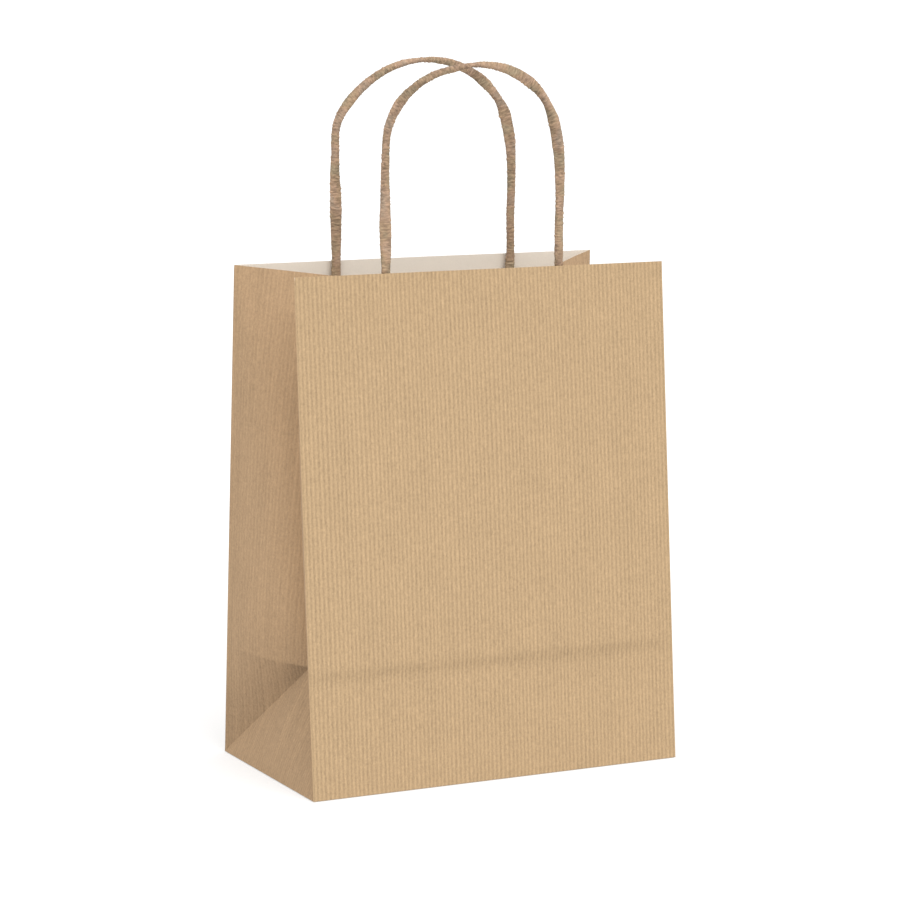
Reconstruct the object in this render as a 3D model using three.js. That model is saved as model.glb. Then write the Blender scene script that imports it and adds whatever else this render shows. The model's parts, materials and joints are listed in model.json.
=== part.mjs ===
// A kraft paper gift bag with two twisted paper handles, standing open.
//
// The bag is one sheet of paper, folded into a tube with a gusset down each side and a
// block bottom of overlapping flaps. Each flat field between two folds is a solid of its
// own, because the fields turn against each other when the mouth is drawn shut.
//
// Frame: millimetres, +Z up, the front panel faces -Y, and the origin is the middle of
// the base on the surface that the bag stands on.

import * as THREE from "three";

// ---------------------------------------------------------------- driving dimensions

const WIDTH = 203; // across the front panel
const DEPTH = 114; // of the base, which is also the gusset's flat width
const HEIGHT = 254; // of the front and back panels, along the paper
const PAPER = 0.3; // thickness of one layer
const LEAN = THREE.MathUtils.degToRad(4.3); // of the front and back panels, inwards

const LAYER_GAP = 0.3; // between two glued layers
const HINGE_GAP = 0.25; // each side of a fold that is a joint
const CORNER_GAP = 1.1; // from a corner edge of the bag to the gusset field beside it
const RIDGE_GAP = 1.2; // each side of the gusset's centre crease, which is an open fold
const RIDGE_OPENING = 1.9; // added to that gap at the rim, where the halves move most
const DIAGONAL_GAP = 1.4; // each side of the gusset's diagonal creases, also open folds
const CORNER_CUT = 5; // off the gusset's top corner, so that it clears the panel there
const BASE_GAP = 1.0; // from the base layers to the front and back panels
const TOE_GAP = 2.2; // from the base layers to the sides, whose toes lean in over them

const OUTER_FLAP = 94; // reach of the outer bottom flap from the front edge
const INNER_FLAP = 76; // reach of the inner bottom flap from the back edge
const SEAM_WIDTH = 16; // of the glue flap down the tube's seam
const SEAM_RIGHT = 84; // where the flap's right edge lies on the back panel
const SEAM_SHORT = 4; // by this much the flap stops below the rim and above the base

const PATCH_WIDTH = 108; // of the paper strips that hold a handle
const PATCH_HEIGHT = 36;
const PATCH_DROP = 9; // from the rim to the top of the strips
const CORD = 5; // diameter of a handle's cord
const CORD_FLAT = 3.4; // thickness of the cord pressed between its strips
const CORD_END = 36; // of each cord below the rim, most of it pressed between its strips
const CORD_SIDES = 10;
const NECK = 8; // upright stretch of cord above the rim that bends at both of its ends
const NECK_GAP = 0.5; // each side of those two bends

// A handle's centreline from its left leg over the arch to its right leg, seen from the
// front: distance from the bag's middle and height above the rim. The paper cord is
// springy and hand-bent, so the arch is a little uneven.
const FRONT_ARCH = [
  [-51.5, 10],
  [-51.8, 30],
  [-51.6, 52],
  [-50, 70],
  [-42, 84],
  [-28, 94],
  [-12, 98.5],
  [3, 99.5],
  [18, 96],
  [31, 87.5],
  [39, 75],
  [43, 58],
  [44, 38],
  [43.5, 22],
  [43.5, 10],
];
const BACK_ARCH = [
  [-46.5, 10],
  [-46.6, 30],
  [-46.8, 52],
  [-45, 71],
  [-33, 86],
  [-16, 96.5],
  [2, 100.5],
  [19, 98.5],
  [35, 90.5],
  [47, 77],
  [52, 59.5],
  [53, 36],
  [52.5, 22],
  [52.5, 10],
];
const ARCH_STEPS = 64;

// ---------------------------------------------------------------- derived dimensions

const HALF = DEPTH / 2; // half the gusset, and the height at which its creases meet
// With both bottom corners fixed, the gusset's toe leans in by this much.
const TOE_LEAN = Math.acos(Math.tan(Math.PI / 4 - LEAN / 2));
const CORD_SETBACK = 2 * (PAPER + LAYER_GAP) + CORD_FLAT / 2; // behind the outer face
const RIM = HEIGHT * Math.cos(LEAN);
const RIM_HALF_DEPTH = HALF - HEIGHT * Math.sin(LEAN);

// ---------------------------------------------------------------- materials

function paper(color, roughness) {
  return new THREE.MeshStandardMaterial({ color, roughness, metalness: 0 });
}

const ribbedKraft = () => paper("#cbad87", 0.85);
const gussetKraft = () => paper("#b4957a", 0.88);
const baseKraft = () => paper("#bfa17c", 0.88);
const patchKraft = () => paper("#c9b59b", 0.8);
const twistedKraft = () => paper("#a18a74", 0.9);

// ---------------------------------------------------------------- shapes

// Draws each edge of an anticlockwise polygon in by its own margin.
function drawIn(points, margins) {
  const lines = points.map((point, i) => {
    const next = points[(i + 1) % points.length];
    const heading = next.clone().sub(point).normalize();
    const inward = new THREE.Vector2(-heading.y, heading.x);
    return { through: point.clone().addScaledVector(inward, margins[i]), heading };
  });
  return lines.map((line, i) => {
    const before = lines[(i + lines.length - 1) % lines.length];
    const apart = line.through.clone().sub(before.through);
    const reach = apart.cross(line.heading) / before.heading.cross(line.heading);
    return before.through.clone().addScaledVector(before.heading, reach);
  });
}

// One flat field of paper. Its corners lie on the outer face, anticlockwise as seen from
// outside, and the paper's thickness lies behind that face.
function field(name, material, corners, margins, thickness = PAPER) {
  const lengthwise = corners[1].clone().sub(corners[0]).normalize();
  const towardsLast = corners.at(-1).clone().sub(corners[0]);
  const outward = lengthwise.clone().cross(towardsLast).normalize();
  const across = outward.clone().cross(lengthwise);
  const flat = corners.map((corner) => {
    const arm = corner.clone().sub(corners[0]);
    return new THREE.Vector2(arm.dot(lengthwise), arm.dot(across));
  });
  const outline = new THREE.Shape(drawIn(flat, margins));
  const geometry = new THREE.ExtrudeGeometry(outline, {
    depth: thickness,
    bevelEnabled: false,
  });
  geometry.translate(0, 0, -thickness);
  const mesh = new THREE.Mesh(geometry, material);
  mesh.name = name;
  mesh.position.copy(corners[0]);
  mesh.quaternion.setFromRotationMatrix(
    new THREE.Matrix4().makeBasis(lengthwise, across, outward),
  );
  return mesh;
}

// A cord of constant section along a curve.
function cordAlong(name, curve, steps, halfWide, halfThick) {
  const section = new THREE.Shape();
  section.absellipse(0, 0, halfThick, halfWide, 0, 2 * Math.PI);
  const geometry = new THREE.ExtrudeGeometry(section, {
    steps,
    curveSegments: CORD_SIDES / 2, // an ellipse takes two for each
    extrudePath: curve,
  });
  const mesh = new THREE.Mesh(geometry, twistedKraft());
  mesh.name = name;
  return mesh;
}

// ---------------------------------------------------------------- the bag's folded corners

// side is -1 on the left and 1 on the right; face is -1 at the front and 1 at the back.
const foot = (side, face) => new THREE.Vector3((side * WIDTH) / 2, face * HALF, 0);
const rimCorner = (side, face) =>
  new THREE.Vector3((side * WIDTH) / 2, face * RIM_HALF_DEPTH, RIM);

// Where the gusset's two diagonals and its centre crease meet.
const apexInset = HALF * Math.sin(TOE_LEAN);
const apexHeight = HALF * Math.cos(TOE_LEAN);
const apex = (side) => new THREE.Vector3(side * (WIDTH / 2 - apexInset), 0, apexHeight);

// The top of the centre crease: in the middle plane, HEIGHT - HALF from the apex and HALF
// from either rim corner, which is where two circles in that plane cross.
function ridgeTop(side) {
  const fromApex = HEIGHT - HALF;
  const fromRim = Math.sqrt(HALF ** 2 - RIM_HALF_DEPTH ** 2);
  const start = new THREE.Vector2(apexInset, apexHeight);
  const towardsRim = new THREE.Vector2(0, RIM).sub(start);
  const span = towardsRim.length();
  towardsRim.normalize();
  const ahead = (fromApex ** 2 - fromRim ** 2 + span ** 2) / (2 * span);
  const aside = Math.sqrt(fromApex ** 2 - ahead ** 2);
  const inward = new THREE.Vector2(towardsRim.y, -towardsRim.x);
  const top = start.addScaledVector(towardsRim, ahead).addScaledVector(inward, aside);
  return new THREE.Vector3(side * (WIDTH / 2 - top.x), 0, top.y);
}

// ---------------------------------------------------------------- front and back panels

// A panel's own frame: x across, y up along the paper from the bottom fold, and z out of
// the bag. Everything glued to a panel is placed in it, behind the outer face.
function panelFrame(face) {
  const frame = new THREE.Group();
  frame.rotation.set(Math.PI / 2 + face * LEAN, 0, 0);
  frame.scale.set(1, 1, -face); // the back panel's frame is the front's, mirrored
  frame.position.set(0, face * HALF, 0);
  return frame;
}

// A rectangle of paper in a panel's frame, with its outer face this far behind the panel's.
function panelSheet(name, material, [left, bottom, right, top], setback) {
  const geometry = new THREE.BoxGeometry(right - left, top - bottom, PAPER);
  const mesh = new THREE.Mesh(geometry, material);
  mesh.name = name;
  mesh.position.set((left + right) / 2, (bottom + top) / 2, -setback - PAPER / 2);
  return mesh;
}

function panel(name, frame) {
  const sheet = [-WIDTH / 2, LAYER_GAP, WIDTH / 2, HEIGHT];
  frame.add(panelSheet(name, ribbedKraft(), sheet, 0));
}

// The two strips that a handle's cord ends are pressed between, and the ends themselves.
function handleAnchorage(prefix, frame, legs) {
  const middle = (legs[0] + legs[1]) / 2;
  const top = HEIGHT - PATCH_DROP;
  const strip = [
    middle - PATCH_WIDTH / 2,
    top - PATCH_HEIGHT,
    middle + PATCH_WIDTH / 2,
    top,
  ];
  const backingSetback = PAPER + LAYER_GAP;
  const coverSetback = CORD_SETBACK + CORD_FLAT / 2 + LAYER_GAP;
  frame.add(panelSheet(prefix + "_patch_backing", patchKraft(), strip, backingSetback));
  frame.add(panelSheet(prefix + "_patch_cover", patchKraft(), strip, coverSetback));
  ["left", "right"].forEach((end, i) => {
    const line = new THREE.LineCurve3(
      new THREE.Vector3(legs[i], HEIGHT - CORD_END, -CORD_SETBACK),
      new THREE.Vector3(legs[i], HEIGHT - NECK_GAP, -CORD_SETBACK),
    );
    const name = `${prefix}_cord_end_${end}`;
    frame.add(cordAlong(name, line, 1, CORD / 2, CORD_FLAT / 2));
  });
}

// The glue flap that closes the paper tube, inside the back panel.
function seamFlap(frame) {
  const left = SEAM_RIGHT - SEAM_WIDTH;
  const strip = [left, SEAM_SHORT, SEAM_RIGHT, HEIGHT - SEAM_SHORT];
  frame.add(panelSheet("side_seam_flap", baseKraft(), strip, PAPER + LAYER_GAP));
}

// ---------------------------------------------------------------- handles

// A handle stands upright above the rim: two short necks, then the arch that swings.
function handle(prefix, face, arch) {
  const group = new THREE.Group();
  const plane = face * (RIM_HALF_DEPTH - CORD_SETBACK);
  const at = ([x, rise]) => new THREE.Vector3(x, plane, RIM + rise);
  [
    ["left", arch[0][0]],
    ["right", arch.at(-1)[0]],
  ].forEach(([end, x]) => {
    const line = new THREE.LineCurve3(at([x, NECK_GAP]), at([x, NECK - NECK_GAP]));
    group.add(cordAlong(`${prefix}_neck_${end}`, line, 1, CORD / 2, CORD / 2));
  });
  const swinging = arch.map(([x, rise], i) => {
    const isEnd = i === 0 || i === arch.length - 1;
    return at([x, isEnd ? NECK + NECK_GAP : rise]);
  });
  const curve = new THREE.CatmullRomCurve3(swinging, false, "centripetal");
  group.add(cordAlong(prefix, curve, ARCH_STEPS, CORD / 2, CORD / 2));
  return group;
}

// ---------------------------------------------------------------- gussets

// The point this far from one corner on the way to another.
function along(from, to, distance) {
  const step = to.clone().sub(from).setLength(distance);
  return from.clone().add(step);
}

// Corners are listed for one of the four quarters of the bag and turned round for the
// two quarters that mirror it, so that every outer face points outwards.
function quarterField(name, corners, margins, mirrored) {
  const order = mirrored ? [corners[0], ...corners.slice(1).reverse()] : corners;
  const around = mirrored ? [...margins].reverse() : margins;
  return field(name, gussetKraft(), order, around);
}

function gusset(side) {
  const group = new THREE.Group();
  const label = side < 0 ? "left" : "right";
  for (const face of [-1, 1]) {
    const prefix = `${label}_gusset_${face < 0 ? "front" : "back"}`;
    const mirrored = side * face < 0;
    const [low, high] = [foot(side, face), rimCorner(side, face)];
    const centre = apex(side);
    const top = along(ridgeTop(side), high, RIDGE_OPENING);
    group.add(
      quarterField(
        prefix + "_lower",
        [low, high, centre],
        [CORNER_GAP, HINGE_GAP, DIAGONAL_GAP],
        mirrored,
      ),
      quarterField(
        prefix + "_upper",
        [centre, along(high, centre, CORNER_CUT), along(high, top, CORNER_CUT), top],
        [HINGE_GAP, 0, 0, RIDGE_GAP],
        mirrored,
      ),
    );
  }
  group.add(
    quarterField(
      label + "_gusset_toe",
      [foot(side, -1), foot(side, 1), apex(side)],
      [BASE_GAP, DIAGONAL_GAP, DIAGONAL_GAP],
      side < 0,
    ),
  );
  return group;
}

// ---------------------------------------------------------------- block bottom

// A layer of the bottom, as an outline on the base with its lower face at this height.
function baseLayer(name, outline, height) {
  const geometry = new THREE.ExtrudeGeometry(
    new THREE.Shape(outline.map(([x, y]) => new THREE.Vector2(x, y))),
    { depth: PAPER, bevelEnabled: false },
  );
  const mesh = new THREE.Mesh(geometry, baseKraft());
  mesh.name = name;
  mesh.position.z = height;
  return mesh;
}

// The outer flap folds back from the front edge, the inner one forward from the back
// edge, and the gussets' own ends fold in over them as two triangles.
function blockBottom() {
  const group = new THREE.Group();
  const layer = PAPER + LAYER_GAP;
  const x = WIDTH / 2 - TOE_GAP;
  const y = HALF - BASE_GAP;
  const flap = (edge, reach, towards) => [
    [-x, edge],
    [x, edge],
    [x, edge + towards * reach],
    [-x, edge + towards * reach],
  ];
  group.add(
    baseLayer("bottom_outer_flap", flap(-y, OUTER_FLAP, 1), 0),
    baseLayer("bottom_inner_flap", flap(y, INNER_FLAP, -1), layer),
  );
  for (const side of [-1, 1]) {
    const tuck = [
      [side * x, -y],
      [side * x, y],
      [side * (x - y), 0],
    ];
    const name = `bottom_tuck_${side < 0 ? "left" : "right"}`;
    group.add(baseLayer(name, tuck, 2 * layer));
  }
  return group;
}

// ---------------------------------------------------------------- assembly

function giftBag() {
  const bag = new THREE.Group();
  bag.add(blockBottom(), gusset(-1), gusset(1));
  const sides = [
    { prefix: "front", face: -1, arch: FRONT_ARCH },
    { prefix: "back", face: 1, arch: BACK_ARCH },
  ];
  for (const { prefix, face, arch } of sides) {
    const frame = panelFrame(face);
    panel(prefix + "_panel", frame);
    handleAnchorage(prefix + "_handle", frame, [arch[0][0], arch.at(-1)[0]]);
    if (face > 0) seamFlap(frame);
    bag.add(frame, handle(prefix + "_handle", face, arch));
  }
  return bag;
}

export default giftBag();
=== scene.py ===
# %% [markdown]
# # A kraft paper gift bag
#
# The bag is one sheet of ribbed kraft paper, folded into a tube and closed at the bottom by
# glued flaps, with two handles of twisted paper cord. The lesson builds it fold by fold on
# top of a imported frame, which already knows every size, every joint and every body that
# moves. Lengths are in metres, and +Z is up.
#
# The frame is loaded first.

# %% Load the frame
import json
import math

import bmesh
import bpy
import numpy as np
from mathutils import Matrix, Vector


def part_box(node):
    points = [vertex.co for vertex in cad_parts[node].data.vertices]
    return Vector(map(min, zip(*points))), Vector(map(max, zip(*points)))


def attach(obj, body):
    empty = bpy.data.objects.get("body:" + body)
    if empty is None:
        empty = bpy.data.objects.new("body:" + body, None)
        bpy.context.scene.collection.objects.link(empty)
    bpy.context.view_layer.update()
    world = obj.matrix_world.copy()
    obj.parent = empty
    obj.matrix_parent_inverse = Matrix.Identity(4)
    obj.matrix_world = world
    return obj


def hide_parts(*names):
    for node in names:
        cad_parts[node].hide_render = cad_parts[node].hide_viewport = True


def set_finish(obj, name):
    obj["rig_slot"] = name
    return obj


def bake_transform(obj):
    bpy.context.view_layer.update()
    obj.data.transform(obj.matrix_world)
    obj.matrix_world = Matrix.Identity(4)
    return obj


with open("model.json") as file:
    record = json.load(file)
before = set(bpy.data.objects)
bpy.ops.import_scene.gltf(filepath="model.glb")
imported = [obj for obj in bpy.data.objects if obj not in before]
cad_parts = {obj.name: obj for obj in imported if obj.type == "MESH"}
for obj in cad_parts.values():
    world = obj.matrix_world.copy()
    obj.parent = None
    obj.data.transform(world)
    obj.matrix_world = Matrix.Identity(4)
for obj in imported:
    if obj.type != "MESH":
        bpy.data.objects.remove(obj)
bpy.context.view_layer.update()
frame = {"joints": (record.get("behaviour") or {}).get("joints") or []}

MM = 0.001

# %% [markdown]
# ## The folded corners
#
# Everything on the bag hangs on a few points: the feet, where a panel's corner edge meets
# the table; the rim corners; the apex, where the two diagonal creases of a gusset meet its
# centre crease; and the top of that centre crease. They could be typed in, but then a
# change of size would leave the paper behind. Instead they are read from the joints, whose
# axes lie along the folds, and from the front panel's box.

# %% Driving dimensions, from the frame
joint_place = {j["name"]: np.array(j["pos_m"], float) for j in frame["joints"]}
joint_axis = {j["name"]: np.array(j["axis"], float) for j in frame["joints"]}
panel_low, panel_high = (np.array(corner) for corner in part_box("front_panel"))

WIDTH = panel_high[0] - panel_low[0]  # across a panel
HALF = -joint_place["mouth_close"][1]  # half the base's depth, and half a gusset's width
LEAN = math.asin(abs(joint_axis["left_gusset_front_fold"][1]))  # of the panels, inwards
HEIGHT = panel_high[2] / math.cos(LEAN)  # of a panel, along the paper
RIM = panel_high[2]
RIM_HALF_DEPTH = HALF - HEIGHT * math.sin(LEAN)
TOE_LEAN = math.acos(joint_place["left_gusset_front_bend"][2] / HALF)

print(f"panel {WIDTH / MM:.0f} x {HEIGHT / MM:.0f} mm, base {2 * HALF / MM:.0f} mm deep")
print(f"panels lean {math.degrees(LEAN):.1f} degrees, toes {math.degrees(TOE_LEAN):.1f}")

# %% The points where folds meet
# side is -1 on the left and 1 on the right; face is -1 at the front and 1 at the back.
SIDES = {"left": -1, "right": 1}
FACES = {"front": -1, "back": 1}


def unit(vector):
    """The vector divided by its length."""
    return vector / np.linalg.norm(vector)


def foot(side, face):
    return np.array([side * WIDTH / 2, face * HALF, 0])


def rim_corner(side, face):
    return np.array([side * WIDTH / 2, face * RIM_HALF_DEPTH, RIM])


def apex(side):
    """Half a gusset's width from the foot line, up a toe that leans in."""
    inset = HALF * math.sin(TOE_LEAN)
    return np.array([side * (WIDTH / 2 - inset), 0, HALF * math.cos(TOE_LEAN)])


def ridge_top(side):
    """Where two circles cross in the middle plane: HEIGHT - HALF from the apex, and as far
    from the rim corners' midpoint as makes the gusset's half HALF wide."""
    start = np.array([WIDTH / 2 - abs(apex(side)[0]), apex(side)[2]])
    middle = np.array([0, RIM])
    from_start = HEIGHT - HALF
    from_middle = math.sqrt(HALF**2 - RIM_HALF_DEPTH**2)
    span = np.linalg.norm(middle - start)
    ahead = (from_start**2 - from_middle**2 + span**2) / (2 * span)
    aside = math.sqrt(from_start**2 - ahead**2)
    towards = unit(middle - start)
    inset, height = start + ahead * towards + aside * np.array([towards[1], -towards[0]])
    return np.array([side * (WIDTH / 2 - inset), 0, height])


print("left apex, mm:", np.round(apex(-1) / MM, 1))
print("left ridge top, mm:", np.round(ridge_top(-1) / MM, 1))

# %% [markdown]
# ## The camera
#
# The camera stands where the bag is best seen: a little above it, nearly a third of a
# quarter turn to the left of square on, and far away with a long lens, so that upright
# edges stay upright.
# The direction is worked out from an azimuth and an elevation, and the camera sits back
# along it from a target inside the bag.

# %% The camera
AZIMUTH = math.radians(-26.17)
ELEVATION = math.radians(8.51)
DISTANCE = 1.6
TARGET = np.array([0.0004, 0, 0.1582])
LENS = 126.24  # focal length in millimetres
SENSOR = 36  # its width in millimetres
FARTHEST = 500  # nothing beyond this is drawn, and the floor ends well before it

looking = np.array(
    [
        -math.sin(AZIMUTH) * math.cos(ELEVATION),
        math.cos(AZIMUTH) * math.cos(ELEVATION),
        -math.sin(ELEVATION),
    ]
)
camera = bpy.data.objects.new("camera", bpy.data.cameras.new("camera"))
camera.data.lens = LENS
camera.data.sensor_width = SENSOR
camera.data.clip_end = FARTHEST
camera.location = TARGET - DISTANCE * looking
camera.rotation_euler = (math.pi / 2 - ELEVATION, 0, AZIMUTH)
bpy.context.scene.collection.objects.link(camera)
bpy.context.scene.camera = camera
print("camera at, m:", [round(c, 3) for c in camera.location])

# %% [markdown]
# ## The handles' route
#
# Each handle is a length of paper cord. Its two ends are pressed between paper strips
# inside the panel, and between them it stands up over the rim as an uneven arch, because it
# was bent by hand. The route is a list of given points: distance from the bag's middle,
# and height above the rim. They are the frame's own points, but for the first and the last,
# which lie a little lower on the same upright stretch. A centripetal Catmull-Rom curve goes
# through them all without overshooting where they lie close together.

# %% Points of the arches, in millimetres
FRONT_ARCH = [
    (-51.5, 8.5), (-51.8, 30), (-51.6, 52), (-50, 70), (-42, 84), (-28, 94), (-12, 98.5),
    (3, 99.5), (18, 96), (31, 87.5), (39, 75), (43, 58), (44, 38), (43.5, 22), (43.5, 8.5),
]
BACK_ARCH = [
    (-46.5, 8.5), (-46.6, 30), (-46.8, 52), (-45, 71), (-33, 86), (-16, 96.5), (2, 100.5),
    (19, 98.5), (35, 90.5), (47, 77), (52, 59.5), (53, 36), (52.5, 22), (52.5, 8.5),
]
ARCHES = {"front": FRONT_ARCH, "back": BACK_ARCH}
CORD_END = 36 * MM  # of the cord below the rim, at each end
RING_STEP = 0.25 * MM
CORD_SETBACK = RIM_HALF_DEPTH - abs(joint_place["front_handle_neck_bend"][1])


# %% A curve through the points
def through(points, samples=48):
    """A centripetal Catmull-Rom curve. Between two points it is the cubic that leaves and
    arrives with tangents set by the neighbours, each weighed by the square root of its
    distance."""
    before = 2 * points[0] - points[1]
    after = 2 * points[-1] - points[-2]
    p = np.vstack([before, points, after])
    gap = np.sqrt(np.linalg.norm(np.diff(p, axis=0), axis=1))[:, None]
    rate = np.diff(p, axis=0) / gap
    wide = (p[2:] - p[:-2]) / (gap[:-1] + gap[1:])
    tangent = rate[:-1] - wide + rate[1:]
    t = np.linspace(0, 1, samples, endpoint=False)[None, :, None]
    start, stop = points[:-1, None], points[1:, None]
    leave = (tangent[:-1] * gap[1:-1])[:, None]
    arrive = (tangent[1:] * gap[1:-1])[:, None]
    curve = (
        (2 * t**3 - 3 * t**2 + 1) * start
        + (t**3 - 2 * t**2 + t) * leave
        + (3 * t**2 - 2 * t**3) * stop
        + (t**3 - t**2) * arrive
    )
    return np.vstack([curve.reshape(-1, 3), points[-1]])


def evenly(line, step):
    """The same line with its points a fixed step apart, and their distances along it."""
    along = np.concatenate([[0], np.cumsum(np.linalg.norm(np.diff(line, axis=0), axis=1))])
    marks = np.linspace(0, along[-1], round(along[-1] / step) + 1)
    return np.stack([np.interp(marks, along, line[:, i]) for i in range(3)], 1), marks


def handle_route(face, arch):
    """Up from the glued end along the leaning panel, upright above the rim over the arch,
    and down again. Above the rim y is the handle's plane; below it, the cord moves out
    with the panel."""
    plane = RIM_HALF_DEPTH - CORD_SETBACK
    ends = np.array([-CORD_END, -CORD_END / 2, -4 * MM, 0])
    left, right = arch[0][0] * MM, arch[-1][0] * MM
    straight = np.ones(len(ends))
    x = np.concatenate([left * straight, [p[0] * MM for p in arch], right * straight])
    rise = np.concatenate([ends, [p[1] * MM for p in arch], ends[::-1]])
    down = np.minimum(rise, 0)
    y = face * (plane - down * math.sin(LEAN))
    z = RIM + np.maximum(rise, 0) + down * math.cos(LEAN)
    return evenly(through(np.stack([x, y, z], 1)), RING_STEP)


for label, face in FACES.items():
    route, marks = handle_route(face, ARCHES[label])
    print(f"{label} handle: {marks[-1] / MM:.0f} mm of cord, {len(route)} rings")

# %% [markdown]
# ## From a grid to a sheet of paper
#
# A field of paper between folds is a surface of two parameters. Blender could make its
# thickness with a modifier, but the two faces of this paper look different, ribbed and
# brown outside and smooth and pale inside, and the thin cut edge shows at the rim. So one
# function takes the grid of the outer face, finds its normals, sets the inner face one
# thickness behind it, and closes the border with a strip.
#
# Patterns must stay on the paper when it folds, so each point also remembers where it lay on
# the flat sheet before folding. That place is kept as an attribute named laid, and the
# materials read it. Another attribute, inner, is 0 outside and 1 inside.

# %% Grids into meshes
PAPER = 0.25 * MM  # thickness
SHARP_PAPER = math.radians(38)  # edges that turn by more are shaded sharp
SHARP_CORD = math.radians(60)
SAME_POINT = 1e-7  # points nearer than this are merged


def outward_normals(grid):
    """The cross product of the differences along the grid's rows and columns, at length 1.
    On a border where one of them shrinks to nothing the neighbour's normal is taken."""
    down, across = np.gradient(grid, axis=0), np.gradient(grid, axis=1)
    normal = np.cross(across, down)
    length = np.linalg.norm(normal, axis=2, keepdims=True)
    normal = normal / np.maximum(length, 1e-15)
    flat = length[..., 0] < 1e-4 * np.median(length)
    for border, beside in ((0, 1), (-1, -2)):
        lost = flat[:, border]
        normal[lost, border] = normal[lost, beside]
    return normal


def link(name, vertices, faces, attributes, sharp=SHARP_PAPER):
    """Makes one object of arrays, merges the points of closed poles, shades it smooth except
    across sharp edges, and puts it at the origin."""
    mesh = bpy.data.meshes.new(name)
    mesh.from_pydata(vertices, [], faces)
    for key, values in attributes.items():
        kind, field = ("FLOAT", "value") if values.ndim == 1 else ("FLOAT_VECTOR", "vector")
        layer = mesh.attributes.new(key, kind, "POINT")
        layer.data.foreach_set(field, np.ascontiguousarray(values, np.float32).ravel())
    merged = bmesh.new()
    merged.from_mesh(mesh)
    bmesh.ops.remove_doubles(merged, verts=merged.verts, dist=SAME_POINT)
    bmesh.ops.dissolve_degenerate(merged, edges=merged.edges, dist=1e-8)
    merged.to_mesh(mesh)
    merged.free()
    mesh.polygons.foreach_set("use_smooth", np.ones(len(mesh.polygons), bool))
    mesh.set_sharp_from_angle(angle=sharp)
    piece = bpy.data.objects.new(name, mesh)
    bpy.context.scene.collection.objects.link(piece)
    print(f"{name}: {len(mesh.vertices)} points, {len(mesh.polygons)} faces")
    return piece


def grid_faces(rows, columns, first=0):
    """Quads of a grid whose point (i, j) has the number first + i * columns + j."""
    i, j = np.mgrid[: rows - 1, : columns - 1]
    a = (first + i * columns + j).ravel()
    return np.stack([a, a + 1, a + 1 + columns, a + columns], 1)


def paper_sheet(name, grid, laid, outward, extra, relief=0.0):
    """A closed sheet whose outer face is the grid, pushed out by the relief. The grid is
    turned over if its normals point against outward. extra holds more numbers for each
    point of the grid, by name."""
    relief = relief + np.zeros(grid.shape[:2])
    if np.mean(outward_normals(grid) @ np.array(outward, float)) < 0:
        grid, laid, relief = grid[:, ::-1], laid[:, ::-1], relief[:, ::-1]
        extra = {key: values[:, ::-1] for key, values in extra.items()}
    rows, columns = grid.shape[:2]
    count = rows * columns
    normal = outward_normals(grid)
    outer = grid + relief[..., None] * normal
    inner = grid - PAPER * normal
    number = np.arange(count).reshape(rows, columns)
    ring = np.concatenate(
        [number[0, :-1], number[:-1, -1], number[-1, :0:-1], number[:0:-1, 0]]
    )
    onward = np.roll(ring, -1)
    faces = np.vstack(
        [
            grid_faces(rows, columns),
            grid_faces(rows, columns, count)[:, ::-1],
            np.stack([ring, ring + count, onward + count, onward], 1),
        ]
    )
    two = {key: np.tile(values.ravel(), 2) for key, values in extra.items()}
    two["inner"] = np.repeat([0.0, 1.0], count)
    two["laid"] = np.tile(laid.reshape(-1, 3), (2, 1))
    vertices = np.vstack([outer.reshape(-1, 3), inner.reshape(-1, 3)])
    return link(name, vertices.tolist(), faces.tolist(), two)


# %% [markdown]
# ## Ribs
#
# The paper is ribbed: fine stripes, a little over two millimetres apart, run up the bag all
# the way round. The machine that makes them doesn't keep a perfect step, so their phase
# drifts. One function of the distance round the sheet gives their relief, in the geometry
# and, through the attribute rib, in the colour, so that both always agree.

# %% Ribs round the sheet
RIB = 2.2 * MM
RIB_RELIEF = 0.03 * MM
COLUMNS_PER_RIB = 8
DRIFTS = [(0.8, 23 * MM, 0), (0.9, 71 * MM, 1)]  # size, wavelength and phase of a sine


def ribs(around):
    """A cosine of the distance round the sheet, its phase moved by two slow sines."""
    drift = sum(size * np.sin(2 * np.pi * around / wave + phase) for size, wave, phase in DRIFTS)
    return np.cos(2 * np.pi * around / RIB + drift)


def columns_for(width):
    """Even steps across a field, fine enough to carry the ribs."""
    return round(width / RIB * COLUMNS_PER_RIB) + 1


def smooth(t):
    """0 below 0, 1 above 1, and an S-curve between: three t squared less two t cubed."""
    t = np.clip(t, 0, 1)
    return t * t * (3 - 2 * t)


# %% [markdown]
# ## Folds
#
# A folded edge of paper isn't a knife edge, it has a radius of about half a millimetre. Each
# of the two fields that meet there takes half of the turn: near the fold its face leaves
# the flat and follows an arc up to the bisector, where the other field's arc begins. That
# keeps the fold closed when the fields turn against each other.

# %% The rounded edge of a fold
FOLD_RADIUS = 0.5 * MM
FADE_IN = 3 * MM  # from the bottom fold, over which ribs and swell begin
VALLEY_LAP = 0.4 * MM  # by this much one side of an inward fold runs on behind the other
CORNER_TURN = math.pi / 2 + TOE_LEAN  # of the paper, from a panel into a gusset
BOTTOM_TURN = math.pi / 2 + LEAN  # from a panel into the base


def rolled(distance, turn):
    """Distance from the fold's line and depth below the face, after rolling. From the line
    out to radius times the tangent of half the turn, the paper lies on an arc."""
    start = FOLD_RADIUS * math.tan(turn / 2)
    angle = turn / 2 * (1 - np.clip(distance / start, 0, 1))
    beside = np.where(distance < start, start - FOLD_RADIUS * np.sin(angle), distance)
    return beside, FOLD_RADIUS * (1 - np.cos(angle))


def wear(distance):
    """1 on a fold's line and 0 from a millimetre and a half away: the rubbed fibres."""
    return 1 - smooth(distance / (1.5 * MM))


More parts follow.
